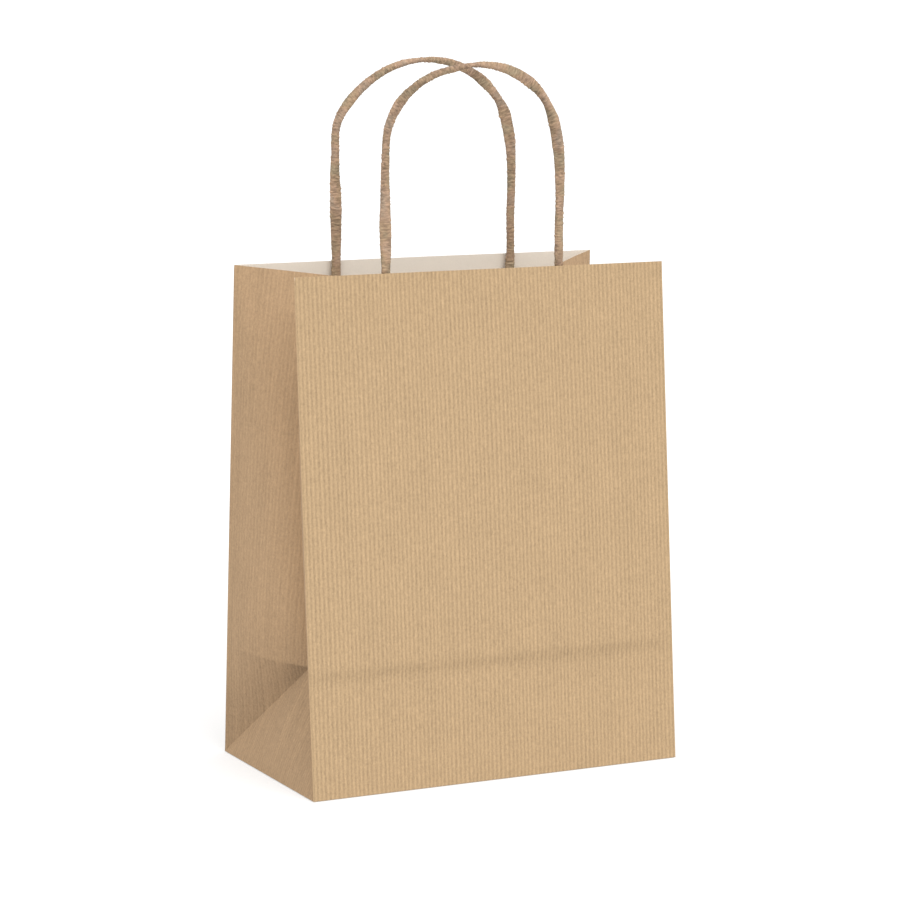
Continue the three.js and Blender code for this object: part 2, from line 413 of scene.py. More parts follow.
# %% [markdown]
# ## Front and back panels
#
# A panel is a leaning rectangle, but not a plate. It swells by a millimetre or two in its
# middle, its rim waves a little, and across it runs the soft band of an old crease, where
# the base was folded up against it while the bag lay flat. Above that band the paper
# stands out by nearly a millimetre. The back panel also has the tube's glued seam: to the
# right of it the paper lies one layer deeper.

# %% The shape of a panel
BAND = 60 * MM  # height of the old crease's middle
BAND_WIDTH = 8 * MM
BAND_STEP = 0.9 * MM
BELLY = 1.5 * MM  # the swell in the middle
WAVES = 0.22 * MM
RIM_WAVE = 0.35 * MM
SEAM_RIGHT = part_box("side_seam_flap")[1][0]


def swell(face, x, up):
    """How far a panel's face stands out of its flat: a cosine across times a sine up, the
    step of the old crease, slow waves, a wavy rim, and at the back the seam's step."""
    across = np.cos(np.pi * x / WIDTH)
    rise = up / HEIGHT
    middle = BELLY * across * np.sin(np.pi * rise)
    flat_edge = 1 - np.abs(2 * x / WIDTH) ** 10
    step = smooth((up - BAND) / BAND_WIDTH + 0.5) * (1 - smooth((rise - 0.3) / 0.7))
    waves = np.sin(x / (31 * MM) + 2 * face) * np.sin(up / (37 * MM) + face)
    rim = RIM_WAVE * np.sin(x / (24 * MM) + face) * rise**6
    out = middle + BAND_STEP * step * flat_edge + (WAVES * waves + rim) * across
    if face > 0:
        out = out - PAPER * smooth((x - SEAM_RIGHT) / (0.3 * MM))
    return out


def panel_places(face, x, up, out):
    """Places on a panel. The paper climbs by up along the lean, and out is measured along
    the panel's outward normal."""
    y = face * (HALF - up * math.sin(LEAN) + out * math.cos(LEAN))
    z = up * math.cos(LEAN) + out * math.sin(LEAN)
    return np.stack([x, y, z], -1)


def round_the_sheet(face, x):
    """Distance round the sheet from the front left corner edge, counted to the right."""
    return x + WIDTH / 2 if face < 0 else 1.5 * WIDTH + 2 * HALF - x


def heights():
    """Rows up a panel: close together in the bottom fold and in the old crease."""
    fold = np.linspace(0, 0.8, 6)
    band = np.arange(50, 71, 1.5)
    above = np.linspace(76, HEIGHT / MM, 30)
    return np.concatenate([fold, [2, 5, 10, 16, 22, 28, 34, 40, 45], band, above]) * MM


# %% Make the panels
def panel_paper(label, face):
    """One panel: painted shade in the old crease's band, a dark line on the back seam."""
    x, up = np.meshgrid(np.linspace(-1, 1, columns_for(WIDTH)) * WIDTH / 2, heights())
    around = round_the_sheet(face, x)
    from_edge, edge_depth = rolled(WIDTH / 2 - np.abs(x), CORNER_TURN)
    from_bottom, bottom_depth = rolled(up, BOTTOM_TURN)
    out = swell(face, x, up) * smooth(up / FADE_IN) - edge_depth - bottom_depth
    grid = panel_places(face, np.sign(x) * (WIDTH / 2 - from_edge), from_bottom, out)
    laid = np.stack([around, up, np.zeros_like(x)], -1)
    worn = np.maximum(wear(WIDTH / 2 - np.abs(x)), wear(up))
    relief = RIB_RELIEF * ribs(around) * smooth(up / FADE_IN)
    # Painted shade: a soft darker band along the old crease.
    creased = 0.2 * np.exp(-(((up - BAND) / (3.2 * MM)) ** 2))
    if face > 0:
        creased = creased + 0.9 * np.exp(-(((x - SEAM_RIGHT) / (0.35 * MM)) ** 2))
    extra = {"rib": ribs(around), "worn": worn, "creased": creased}
    piece = paper_sheet(f"{label}_panel_paper", grid, laid, (0, face, 0), extra, relief)
    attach(piece, f"{label}_panel")
    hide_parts(f"{label}_panel")
    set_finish(piece, "ribbed_kraft")
    return piece


panels = [panel_paper(label, face) for label, face in FACES.items()]

# %% [markdown]
# ## Gussets
#
# Each side of the bag is a gusset, a field as wide as the base is deep, pushed inwards along
# its centre crease. On its way up, each half of it bends softly along a line from the apex
# to the rim corner, for it can't be flat: below that line it is held by the corner edge,
# and above it by the centre crease. Two flat facets with a hard crease would be easy, but
# they would look like tin. So the surface is worked out from the flat sheet: a point's
# distance across the bend line is shared between the two facets' directions through a
# smooth corner, which widens away from both ends of the line.
#
# The base was once folded up against the gusset too, which left a crease level with the
# apex. Below it, down to the diagonal, the paper leans out, and the crease fades towards
# the corner edge.

# %% The flat sheet of a gusset's half
BEND_LINE = unit(np.array([-HALF, HEIGHT - HALF]))  # on the flat sheet, apex to rim corner
BEND_ACROSS = np.array([BEND_LINE[1], -BEND_LINE[0]])
BEND_LENGTH = math.hypot(HALF, HEIGHT - HALF)
BEND_SOFTNESS = 0.26  # of the distance to the line's nearer end
HINGE_REACH = 6 * MM  # each side of the bend line
CREASE_FADE = 110 * MM  # above the apex, where the old crease's shape has died out
FRONT_BOW = 0.1  # of a back half's bow


def gusset_facets(side, face):
    """Unit vectors of the two facets: along the bend line, and across it in each facet."""
    up = unit(rim_corner(side, face) - foot(side, face))
    towards = apex(side) - foot(side, face)
    across = unit(towards - (towards @ up) * up)
    line = unit(rim_corner(side, face) - apex(side))
    low = BEND_ACROSS[0] * across + BEND_ACROSS[1] * up
    ridge = ridge_top(side) - apex(side)
    high = unit(ridge - (ridge @ line) * line)
    return line, low, high


def gusset_places(side, face, across, up):
    """From the flat sheet to space. across is measured from the corner edge, and up from
    the bottom fold. The distance over the bend line, q, is split into a part on the lower
    facet and a part on the upper one; within the soft width w of the line the upper part
    is (q + w) squared over 4 w, which joins both straight parts smoothly."""
    line, low, high = gusset_facets(side, face)
    from_apex = np.stack([across - HALF, up - HALF], -1)
    along = from_apex @ BEND_LINE
    q = from_apex @ BEND_ACROSS
    inside = np.clip(along, 0, BEND_LENGTH)
    w = BEND_SOFTNESS * inside * (1 - inside / BEND_LENGTH) + 1e-6
    upper = np.where(q > w, q, np.where(q < -w, 0, (q + w) ** 2 / (4 * w)))
    lower = q - upper
    place = apex(side) + along[..., None] * line
    return place + lower[..., None] * low + upper[..., None] * high


# %% How a gusset's half bows
def gusset_bow(face, across, up):
    """How far the paper stands out of its facets. Below the apex it leans out from the
    diagonal up to the crease, least at the corner edge; above, it sinks back slowly. A slow
    bow across lies over both. The front halves were pressed flatter than the back ones."""
    share = across / HALF
    strength = FRONT_BOW if face < 0 else 1.0
    at_crease = 5.2 * MM * np.sin(np.pi * share) * (1 - 0.2 * share)
    height = np.maximum(HALF - across, 1e-6)
    below = np.clip((up - across) / height, 0, 1) ** 1.2
    above = (1 - smooth((up - HALF) / CREASE_FADE)) ** 1.3
    crease = at_crease * np.where(up < HALF, below, above)
    rise = np.clip((up - HALF) / (HEIGHT - HALF), 0, 1)
    bow = 1.3 * MM * np.sin(np.pi * share) * np.sin(np.pi * rise**0.7)
    rim = -1.1 * MM * np.sin(np.pi * share) * rise**4
    return strength * (crease + bow) + rim


APEX_SINK = 2.2 * MM  # how much deeper the pinched paper sits at the apex


def sink(side, share, up):
    """Inward along X: it grows with the share of the way from a corner edge, or from the
    bottom fold, to the apex, and dies out above the apex."""
    amount = -side * APEX_SINK * share * (1 - smooth((up - HALF) / CREASE_FADE))
    return amount[..., None] * np.array([1, 0, 0])


# %% Make the gussets' halves
def gusset_rows():
    """Row places as pairs: share of the way from the diagonal to the apex's level, and
    height above that level."""
    below = np.concatenate([[0, 0.02, 0.05], np.linspace(0.1, 1, 14)])
    above = np.concatenate([[1, 2.5, 5, 9], np.linspace(14, (HEIGHT - HALF) / MM, 34)])
    shares = np.concatenate([below, np.ones(len(above))])
    return shares, np.concatenate([np.zeros(len(below)), above * MM])


# Places of the corner edges round the sheet, by side and face.
EDGE_AROUND = {
    (1, -1): WIDTH,
    (1, 1): WIDTH + 2 * HALF,
    (-1, 1): 2 * (WIDTH + HALF),
    (-1, -1): 2 * (WIDTH + 2 * HALF),
}


def around_gusset(side, face, across):
    """Distance round the sheet, counted from the corner edge that the half hangs on."""
    return EDGE_AROUND[side, face] - side * face * across


def gusset_painted_shade(across, up):
    """Painted shade, as numbers that darken the paper: over the triangle under the
    crease, most of all at the apex, and only lower down beside the corner edge. Above the
    crease, painted light by the ridge makes the paper a little paler, as negative numbers."""
    share = across / HALF
    below = (HALF - up) / np.maximum(HALF - across, 1e-6)
    triangle = 0.55 * (share + (1 - share) * smooth(1.3 * below))
    near_apex = 0.42 * np.exp(-(((HALF - across) / (15 * MM)) ** 2))
    pale = 0.5 * smooth(share) * smooth((up - HALF) / (40 * MM))
    return np.where(up < HALF + 0.4 * MM, triangle + near_apex, -pale)


def behind_the_ridge(side, up):
    """Far edge of the lap by which a front half runs on behind the back one. It lies on the
    front half's mirror image, a paper's thickness deeper, and is widest a little above the
    apex, where the closing mouth would draw the two halves apart."""
    over = up - HALF
    wide = 2.6 * MM * smooth(over / (6 * MM)) * (1 - smooth(over / (150 * MM)))
    wide = wide + VALLEY_LAP * (over > 0)
    place = gusset_places(side, -1, HALF - wide, up) * np.array([1, -1, 1])
    deeper = -side * 1.4 * PAPER * (wide > 0)
    return place + deeper[:, None] * np.array([1, 0, 0])


def gusset_paper(side_label, side, face_label, face):
    """One half of a gusset, in one piece from the toe's diagonal to the rim, in place of the
    frame's lower and upper solids, which it hides."""
    shares, above = gusset_rows()
    steps = np.linspace(0, 1, columns_for(HALF))
    if face < 0:
        steps = np.append(steps, 1)  # the lap has its own column
    across, row = np.meshgrid(steps * HALF, np.arange(len(shares)))
    up = across + (HALF - across) * shares[row] + above[row]
    around = around_gusset(side, face, across)
    from_edge, depth = rolled(across, CORNER_TURN)
    flat = gusset_places(side, face, from_edge, up)
    if face < 0:
        flat[:, -1] = behind_the_ridge(side, up[:, -1])
    normal = outward_normals(flat)
    normal = normal * np.sign(np.mean(normal[..., 0]) * side)
    out = gusset_bow(face, across, up) - depth
    grid = flat + out[..., None] * normal + sink(side, across / HALF, up)
    laid = np.stack([around, up, np.zeros_like(up)], -1)
    # Painted shade under the old crease, painted light by the ridge.
    creased = gusset_painted_shade(across, up)
    extra = {"rib": ribs(around), "worn": wear(across), "creased": creased}
    relief = RIB_RELIEF * ribs(around) * smooth((up - across) / (2 * MM))
    name = f"{side_label}_gusset_{face_label}"
    piece = paper_sheet(f"{name}_paper", grid, laid, (side, 0, 0), extra, relief)
    line, low, high = gusset_facets(side, face)
    middle = apex(side) + BEND_LENGTH / 2 * line
    tuple(middle - HINGE_REACH * low)
    tuple(middle + HINGE_REACH * low)
    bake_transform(piece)
    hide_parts(f"{name}_lower", f"{name}_upper")
    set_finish(piece, "gusset_kraft")
    return piece


gussets = [
    gusset_paper(side_label, side, face_label, face)
    for side_label, side in SIDES.items()
    for face_label, face in FACES.items()
]

# %% [markdown]
# ## Toes
#
# Below the two diagonals a gusset ends in a triangle that leans in over the base, the toe.
# Its grid narrows to nothing at both feet. Along the diagonals it runs on a little behind
# the halves above it, as pinched paper does, so that no light falls through the crease.

# %% Make the toes
def toe_paper(label, side):
    """The triangle between a gusset's bottom fold and its two diagonals."""
    across, share = np.meshgrid(
        np.linspace(-1, 1, columns_for(2 * HALF)) * HALF,
        np.concatenate([[0, 0.01, 0.02, 0.035], np.linspace(0.06, 1, 22)]),
    )
    tall = HALF - np.abs(across)
    up = tall * share + VALLEY_LAP * (share >= 1) * smooth(tall / MM)
    around = around_gusset(side, -1, across + HALF)
    from_bottom, depth = rolled(up, CORNER_TURN)
    hollow = 16 * share * (1 - share) * (1 - np.abs(across) / HALF) * (tall / HALF)
    out = 0.5 * MM * hollow - depth
    lean, stand = math.sin(TOE_LEAN), math.cos(TOE_LEAN)
    x = side * (WIDTH / 2 - from_bottom * lean + out * stand)
    z = from_bottom * stand + out * lean
    laid = np.stack([around, up, np.zeros_like(up)], -1)
    grid = np.stack([x, across, z], -1) + sink(side, up / HALF, up)
    extra = {"rib": ribs(around), "worn": wear(up), "creased": np.zeros_like(up)}
    relief = RIB_RELIEF * ribs(around) * smooth(up / MM) * smooth((tall - up) / (2 * MM))
    name = f"{label}_gusset_toe"
    piece = paper_sheet(f"{name}_paper", grid, laid, (side, 0, 0), extra, relief)
    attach(piece, name)
    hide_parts(name)
    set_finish(piece, "gusset_kraft")
    return piece


toes = [toe_paper(label, side) for label, side in SIDES.items()]

# %% [markdown]
# ## The block bottom
#
# The base is made of flaps that overlap: one folded back from the front panel, one folded
# forward over it from the back panel, and on the inside the gussets' own ends, two
# triangles. Each flap is one layer of paper that climbs over the edge of the layer below
# it. The climb is an S-curve a few millimetres long.

# %% Reaches of the flaps, from the frame
OUTER_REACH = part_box("bottom_outer_flap")[1][1]  # y of the outer flap's back edge
INNER_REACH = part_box("bottom_inner_flap")[0][1]  # y of the inner flap's front edge
FLAP_HALF = WIDTH / 2 - 1.2 * MM
LAYER = PAPER + 0.05 * MM
FLAP_START = 0.12 * MM  # from the fold, which leaves the panel room to turn
TUCK_START = 0.3 * MM


def wrinkle(x, y):
    """A quarter of a millimetre of slow waves in glued paper, never negative."""
    return 0.12 * MM * (1 + np.sin(x / (17 * MM)) * np.sin(y / (13 * MM) + 0.6))


def base_piece(name, x, y, lowest, shift):
    """A layer of the base. Its outer face looks down at height lowest. shift moves its
    patterns along, so that no two layers look alike."""
    laid = np.stack([x + shift, y, np.zeros_like(x)], -1)
    grid = np.stack([x, y, lowest], -1)
    extra = {"rib": ribs(x + WIDTH / 2), "worn": 0 * x, "creased": 0 * x}
    piece = paper_sheet(f"{name}_paper", grid, laid, (0, 0, -1), extra)
    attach(piece, "base")
    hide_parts(name)
    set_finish(piece, "inner_kraft")
    return piece


# %% Make the two flaps
def flap(name, face, reach, height_over):
    """From the panel's bottom fold to the flap's free edge. The fold's arc lifts the edge,
    and height_over gives the rest of its height."""
    arc = np.linspace(FLAP_START, 0.8 * MM, 6)
    rows = np.concatenate([arc, np.linspace(2 * MM, reach, 40)])
    x, inward = np.meshgrid(np.linspace(-1, 1, 220) * FLAP_HALF, rows)
    beside, lift = rolled(inward, BOTTOM_TURN)
    y = face * (HALF - beside)
    lowest = lift + height_over(x, y) * smooth(inward / (2 * MM))
    return base_piece(name, x, y, lowest, face)


def over_outer_flap(x, y):
    """One layer up where the outer flap lies below, and on the table beyond its edge."""
    return LAYER * smooth((OUTER_REACH + 3 * MM - y) / (3 * MM)) + wrinkle(x, y)


bottom_flaps = [
    flap("bottom_outer_flap", -1, HALF + OUTER_REACH, lambda x, y: 0 * x),
    flap("bottom_inner_flap", 1, HALF - INNER_REACH, over_outer_flap),
]


# %% Make the two tucks
def tuck(label, side):
    """The gusset's end: a triangle from the toe's bottom fold towards the middle, over
    both flaps."""
    share, inward = np.meshgrid(
        np.linspace(-1, 1, 90),
        np.concatenate([np.linspace(TUCK_START, 0.9 * MM, 6), np.linspace(1.5 * MM, HALF, 40)]),
    )
    beside, lift = rolled(inward, CORNER_TURN)
    x = side * (WIDTH / 2 - beside)
    y = share * (HALF - inward)
    under = over_outer_flap(x, y) + LAYER * smooth((y - INNER_REACH + 3 * MM) / (3 * MM))
    lowest = lift + (under + 0.1 * MM) * smooth(inward / (1.4 * MM))
    return base_piece(f"bottom_tuck_{label}", x, y, lowest, 2 * side)


tucks = [tuck(label, side) for label, side in SIDES.items()]

# %% [markdown]
# ## Strips inside the panels
#
# Three kinds of strip are glued inside: the flap that closes the tube down the back panel,
# and on each panel a backing strip and a cover strip, which hold the handle's ends between
# them. They follow the panel's own swell, one layer behind it. The cover strip lies flat on
# the backing and rises over each cord end in a soft hump, steep at its sides.

# %% Where the cord ends lie
CORD_FLAT = 3.4 * MM  # thickness of a pressed cord end


def hump(x, legs):
    """1 over a cord end and 0 beside it, with S-shaped sides."""
    nearest = np.min([np.abs(x - leg) for leg in legs], axis=0)
    return 1 - smooth((nearest - 2.1 * MM) / (3.2 * MM))


STRIP_TOP = HEIGHT - 9 * MM  # no strip is seen over the front rim


def strip_paper(name, face, body, depth, slot, step=0.8 * MM):
    """A strip behind a panel, as wide and tall as its solid in the frame. depth gives how
    far its outer face lies behind the panel's outer face."""
    low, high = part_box(name)
    bottom, top = low[2] / math.cos(LEAN), min(high[2] / math.cos(LEAN), STRIP_TOP)
    across = np.linspace(low[0], high[0], round((high[0] - low[0]) / step))
    x, up = np.meshgrid(across, np.linspace(bottom, top, 24 if top - bottom < 0.1 else 60))
    out = swell(face, x, up) - depth(x)
    grid = panel_places(face, x, up, out)
    laid = np.stack([x + 0.7, up + 0.3 * face, np.full_like(x, depth(low[0]))], -1)
    extra = {"rib": 0 * x, "worn": 0 * x, "creased": 0 * x}
    piece = paper_sheet(f"{name}_paper", grid, laid, (0, face, 0), extra)
    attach(piece, body)
    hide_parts(name)
    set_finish(piece, slot)
    return piece


# %% Make the strips
strips = [
    strip_paper(
        "side_seam_flap", 1, "back_panel", lambda x: 1.15 * PAPER + 0 * x, "inner_kraft"
    )
]
for label, face in FACES.items():
    legs = [ARCHES[label][end][0] * MM for end in (0, -1)]
    backing = lambda x: 1.2 * PAPER + 0 * x
    cover = lambda x, legs=legs: 2.6 * PAPER + (CORD_SETBACK + CORD_FLAT / 2) * hump(x, legs)
    prefix = f"{label}_handle_patch"
    body = f"{label}_panel"
    strips.append(strip_paper(f"{prefix}_backing", face, body, backing, "patch_kraft"))
    strips.append(strip_paper(f"{prefix}_cover", face, body, cover, "patch_kraft"))

# %% [markdown]
# ## Twisted paper cord
#
# A handle's cord is a strip of paper crumpled, twisted and pressed. From the rim up it is a
# flat ribbon facing the viewer, it tightens, flattens again at the shoulder of the arch,
# and turns its narrow edge forward on top. So its section is an ellipse whose two widths
# change along the way.
#
# Its surface is all fine creases that run across it at a slant, over long soft dents. Waves
# added together would look too regular, so the relief is seeded noise, made as a picture
# in two directions, along and around, and blurred much more one way than the other.
# Shearing the picture makes the slant. Absolute values make sharp valleys.

# %% The cord's two widths
# Distance up from the rim, then width in the handle's plane and depth across it, in mm.
LEFT_LEG = [
    (-40, 5.2, 3.4), (-4, 4.8, 3.3), (2, 4.5, 3.2), (10, 5.3, 3.0), (22, 6.0, 2.8),
    (36, 5.4, 3.0), (54, 4.0, 3.6), (66, 3.9, 3.6), (76, 4.4, 3.4), (83, 5.1, 3.2),
    (92, 4.6, 3.3), (103, 4.0, 3.5), (118, 3.1, 3.7), (131, 2.3, 3.9), (150, 1.9, 4.0),
]
RIGHT_LEG = [
    (-40, 5.2, 3.4), (-4, 4.6, 3.3), (2, 4.4, 3.2), (12, 4.2, 3.3), (30, 4.3, 3.3),
    (48, 5.4, 3.1), (60, 6.2, 2.8), (73, 6.4, 2.6), (81, 4.1, 3.3), (88, 4.5, 3.3),
    (95, 5.7, 2.9), (104, 5.0, 3.2), (118, 3.5, 3.6), (131, 2.4, 3.9), (150, 1.9, 4.0),
]
AROUND = 44  # points round the cord
LAID_RADIUS = 2.5 * MM  # of the straight cord on which its patterns lie


def blurred_noise(rng, shape, along, around, slant=0):
    """White noise with its fine waves damped by a bell curve, less along than around, then
    sheared and brought to a spread of 1."""
    white = rng.standard_normal(shape)
    f, g = np.fft.fftfreq(shape[0])[:, None], np.fft.fftfreq(shape[1])[None, :]
    f = f + slant * g
    bell = np.exp(-2 * np.pi**2 * ((f * along) ** 2 + (g * around) ** 2))
    field = np.real(np.fft.ifft2(np.fft.fft2(white) * bell))
    return field / field.std()


def crumple(rng, rings):
    """The cord's relief in metres. Two slanted sets of creases take turns along the cord,
    over long dents."""
    shape = (rings, AROUND)
    turns = smooth(blurred_noise(rng, shape, 40, 20) + 0.5)
    left = np.abs(blurred_noise(rng, shape, 1.3, 4.0, 0.7))
    right = np.abs(blurred_noise(rng, shape, 1.5, 3.6, -1.2))
    fine = blurred_noise(rng, shape, 0.9, 1.6)
    dents = blurred_noise(rng, shape, 20, 5)
    creases = turns * left + (1 - turns) * right
    return (0.14 * creases - 0.11 + 0.03 * fine + 0.08 * dents) * MM


# %% Carry the section along the route
def cord_grid(face, arch, seed):
    """Rings of points round the route. A ring is an ellipse in the handle's plane and
    across it, pushed out by the relief, and turned a little by slow noise."""
    rng = np.random.default_rng(seed)
    route, marks = handle_route(face, arch)
    up = np.minimum(marks, marks[-1] - marks) - CORD_END
    on_left = marks < marks[-1] / 2
    legs = [np.array(leg).T * MM for leg in (LEFT_LEG, RIGHT_LEG)]
    widths = [np.interp(up, stations, wide) / 2 for stations, wide, deep in legs]
    depths = [np.interp(up, stations, deep) / 2 for stations, wide, deep in legs]
    width, depth = np.where(on_left, widths[0], widths[1]), np.where(on_left, *depths)
    rings = len(route)
    loose = blurred_noise(rng, (rings, 1), 36, 1)[:, 0]
    above = smooth(up / (12 * MM))
    width = width * (1 + 0.03 * above * loose)
    forward = np.gradient(route, axis=0)
    forward /= np.linalg.norm(forward, axis=1, keepdims=True)
    deepwise = np.tile([0.0, 1.0, 0.0], (rings, 1))
    deepwise -= (deepwise * forward).sum(1, keepdims=True) * forward
    deepwise /= np.linalg.norm(deepwise, axis=1, keepdims=True)
    widthwise = np.cross(deepwise, forward)
    turn = 0.07 * above * blurred_noise(rng, (rings, 1), 60, 1)[:, 0]
    angle = np.linspace(0, 2 * np.pi, AROUND, endpoint=False)[None, :]
    relief = crumple(rng, rings)
    a = width[:, None] * np.cos(angle)
    b = depth[:, None] * np.sin(angle)
    size = 1 + relief / np.hypot(a, b)
    a, b = a * size, b * size
    cos, sin = np.cos(turn)[:, None], np.sin(turn)[:, None]
    a, b = a * cos - b * sin, a * sin + b * cos
    grid = route[:, None] + a[..., None] * widthwise[:, None] + b[..., None] * deepwise[:, None]
    straight = np.stack(
        [
            LAID_RADIUS * np.cos(angle) + 0 * a,
            LAID_RADIUS * np.sin(angle) + 0 * a,
            marks[:, None] + seed + 0 * a,
        ],
        -1,
    )
    return route, marks, grid, relief, straight


def cord_piece(name, grid, relief, straight):
    """A closed tube: quads round it, and one face on each end."""
    rings = len(grid)
    number = np.arange(rings * AROUND).reshape(rings, AROUND)
    beside = np.roll(number, -1, axis=1)
    quads = np.stack([number[:-1], beside[:-1], beside[1:], number[1:]], -1).reshape(-1, 4)
    faces = quads.tolist() + [number[0, ::-1].tolist(), number[-1].tolist()]
    extra = {"relief": relief.ravel() / MM, "laid": straight.reshape(-1, 3)}
    piece = link(name, grid.reshape(-1, 3).tolist(), faces, extra, SHARP_CORD)
    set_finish(piece, "twisted_kraft")
    return piece


# %% Make the handles and their glued ends
END_LAP = 1.5 * MM  # by this much the free cord runs on inside its glued end
TUCKED = 0.85  # size of the rings that lie inside


def handle_cords(label, face, seed):
    """One handle: the free cord, and the two ends pressed between the strips. The seed
    settles its creases."""
    route, marks, grid, relief, straight = cord_grid(face, ARCHES[label], seed)
    start, stop = CORD_END - END_LAP, marks[-1] - CORD_END + END_LAP
    parts = {
        "cord_end_left": marks <= CORD_END,
        "cord": (marks >= start) & (marks <= stop),
        "cord_end_right": marks >= marks[-1] - CORD_END,
    }
    # The free cord's last rings lie inside the glued ends, so no two faces meet.
    hidden = (np.minimum(marks, marks[-1] - marks) < CORD_END - 0.1 * MM)[:, None, None]
    tucked = route[:, None] + (grid - route[:, None]) * np.where(hidden, TUCKED, 1)
    pressed = relief + 0.1 * MM  # raised relief gives the glued ends' creases less painted shade
    made = {
        part: cord_piece(
            f"{label}_handle_paper_{part}",
            (tucked if part == "cord" else grid)[at],
            (relief if part == "cord" else pressed)[at],
            straight[at],
        )
        for part, at in parts.items()
    }
    for end in SIDES:
        piece = made[f"cord_end_{end}"]
        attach(piece, f"{label}_panel")
        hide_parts(f"{label}_handle_cord_end_{end}")
    cord = made["cord"]
    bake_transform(cord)
    necks = [f"{label}_handle_neck_{end}" for end in SIDES]
    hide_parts(f"{label}_handle", *necks)
    round(float(stop - start), 3)
    print(f"{label} handle: {(stop - start) / MM:.0f} mm of free cord")
    return list(made.values())


cords = handle_cords("front", -1, 5) + handle_cords("back", 1, 11)

# %% [markdown]
# ## Writing materials as expressions
#
# A finish is a tree of nodes. Added one by one they take pages, so a small class wraps a
# number socket: Python's own signs then add the Math nodes. Every other kind of node comes
# from one method, which takes the node's kind, the output that is wanted, its settings and
# the values or links of its sockets.

# %% Sockets that can be added and multiplied
class Number:
    """A number somewhere in a finish."""

    def __init__(self, finish, socket):
        self.finish, self.socket = finish, socket

    def maths(self, operation, first, second):
        settings = {"operation": operation}
        return self.finish.node("ShaderNodeMath", "Value", settings, {0: first, 1: second})

    def __add__(self, other):
        return self.maths("ADD", self, other)

    __radd__ = __add__

    def __sub__(self, other):
        return self.maths("SUBTRACT", self, other)

    def __rsub__(self, other):
        return self.maths("SUBTRACT", other, self)

    def __mul__(self, other):
        return self.maths("MULTIPLY", self, other)

    __rmul__ = __mul__


class Finish:
    """One material under construction."""

    def __init__(self, name):
        self.material = bpy.data.materials.new(name)
        self.material.use_nodes = True
        self.tree = self.material.node_tree
        self.tree.nodes.clear()

    def node(self, kind, output, settings, sockets):
        """Adds a node, sets it up, fills its sockets and gives back one of its outputs."""
        node = self.tree.nodes.new(kind)
        for key, value in settings.items():
            if key == "stops":
                self.set_stops(node.color_ramp, value)
            else:
                setattr(node, key, value)
        for key, value in sockets.items():
            if isinstance(value, Number):
                self.tree.links.new(value.socket, node.inputs[key])
            else:
                node.inputs[key].default_value = value
        return Number(self, node.outputs[output]) if output is not None else node

    def set_stops(self, ramp, stops):
        while len(ramp.elements) < len(stops):
            ramp.elements.new(0.5)
        for element, (position, colour) in zip(ramp.elements, stops):
            element.position, element.color = position, colour


# %% [markdown]
# Three helpers cover what the finishes share: reading an attribute, noise on the laid
# sheet, and mixing two colours. Colours are written as they look, from 0 to 255, and are
# turned into the linear values that light needs.

# %% Helpers for the finishes
def colour(red, green, blue):
    """Screen values to linear light: a power of 2.4 above the dark end."""
    screen = np.array([red, green, blue]) / 255
    linear = np.where(screen <= 0.04045, screen / 12.92, ((screen + 0.055) / 1.055) ** 2.4)
    return (*linear, 1.0)


def attribute(finish, name, output="Fac"):
    return finish.node("ShaderNodeAttribute", output, {"attribute_name": name}, {})


def noise(finish, place, fineness, detail=3.0, roughness=0.6):
    """Noise at a place, whose three parts are each multiplied by a fineness first."""
    settings = {"operation": "MULTIPLY"}
    fine = finish.node("ShaderNodeVectorMath", "Vector", settings, {0: place, 1: fineness})
    sockets = {"Vector": fine, "Scale": 1.0, "Detail": detail, "Roughness": roughness}
    return finish.node("ShaderNodeTexNoise", "Fac", {}, sockets)


def mixed(finish, share, first, second, blend="MIX"):
    settings = {"data_type": "RGBA", "blend_type": blend}
    return finish.node("ShaderNodeMix", 2, settings, {0: share, 6: first, 7: second})


def brightened(finish, base, amount):
    """The colour multiplied by a grey of this amount."""
    grey = finish.node("ShaderNodeCombineColor", 0, {}, {0: amount, 1: amount, 2: amount})
    return mixed(finish, 1.0, base, grey, "MULTIPLY")


def between(finish, value, low, high):
    """0 at low, 1 at high, and a straight line between, kept inside 0 to 1."""
    sockets = {"Value": value, "From Min": low, "From Max": high}
    return finish.node("ShaderNodeMapRange", 0, {"clamp": True}, sockets)


def finished(finish, base, roughness, height, distance):
    """Joins the colour, the roughness and a bump to the shader."""
    bump = finish.node(
        "ShaderNodeBump", 0, {}, {"Strength": 1.0, "Distance": distance, "Height": height}
    )
    shader = finish.node(
        "ShaderNodeBsdfPrincipled",
        0,
        {},
        {"Base Color": base, "Roughness": roughness, "Normal": bump, "Specular IOR Level": 0.25},
    )
    finish.node("ShaderNodeOutputMaterial", None, {}, {"Surface": shader})
    return finish.material


# %% [markdown]
# ## Kraft paper
#
# Kraft is brown because nothing was bleached out of it. Close up it is a felt of fibres:
# fine streaks along the machine's direction, small dark and pale flecks, and clouds where
# the felt is thicker. The outside is ribbed; the inside is smooth and paler. Folds are
# rubbed pale. One function makes the finish, and each use gives it its two colours.

